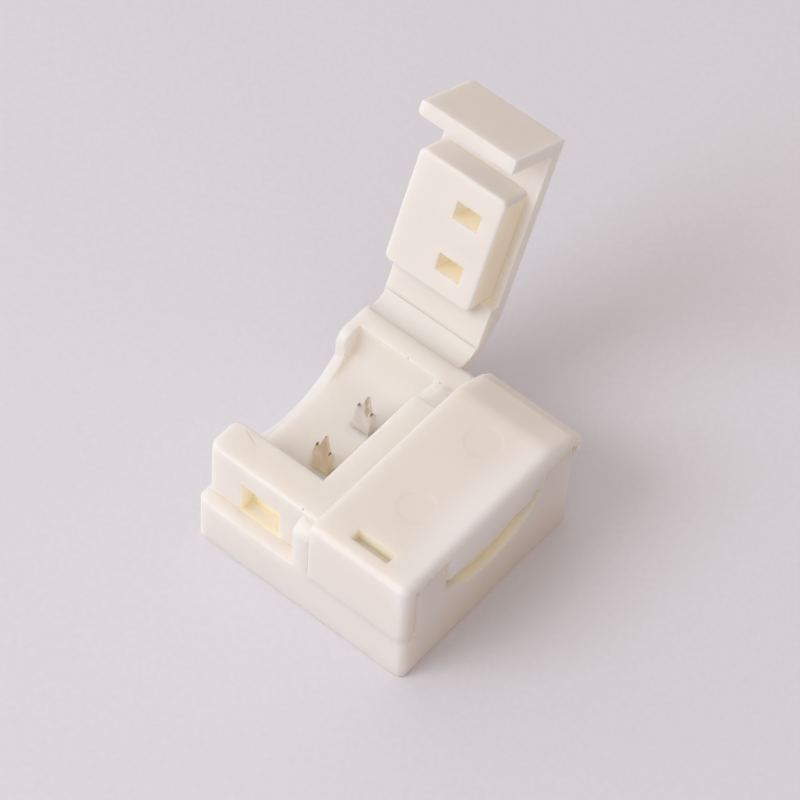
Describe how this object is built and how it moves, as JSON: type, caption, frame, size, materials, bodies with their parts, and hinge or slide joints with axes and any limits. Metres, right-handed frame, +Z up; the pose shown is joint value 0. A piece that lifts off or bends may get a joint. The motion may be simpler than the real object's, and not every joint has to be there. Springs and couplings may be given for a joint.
{
  "type": "led strip connector",
  "caption": "Solderless snap connector that joins the ends of flat LED strips, its left lid open over toothed contacts and its right lid shut.",
  "frame": {"origin": "centre of the housing's underside", "axes": "+X along the LED strip to the shut lid's end, +Y from the latch side to the hinge side, +Z up"},
  "size_m": [0.015, 0.0227, 0.0221],
  "materials": {
    "ivory_plastic": "satin, slightly translucent",
    "contact_metal": "tin plated, satin"
  },
  "bodies": {
    "base": {"housing": "ivory_plastic", "front_contact": "contact_metal", "rear_contact": "contact_metal", "left_hinge": "ivory_plastic", "right_hinge": "ivory_plastic"},
    "left_flap": {"left_lid": "ivory_plastic", "left_barb": "ivory_plastic"},
    "right_flap": {"right_lid": "ivory_plastic", "right_barb": "ivory_plastic"}
  },
  "joints": [
    {"name": "left_lid_hinge", "type": "hinge", "parent": "base", "child": "left_flap", "pos_m": [-0.0041, 0.00774, 0.00649], "axis": [-1, 0, 0], "range_deg": [-111, 39], "deforming": ["left_hinge", "left_barb"]},
    {"name": "right_lid_hinge", "type": "hinge", "parent": "base", "child": "right_flap", "pos_m": [0.0041, 0.00774, 0.00649], "axis": [-1, 0, 0], "range_deg": [0, 150], "deforming": ["right_hinge", "right_barb"]}
  ]
}
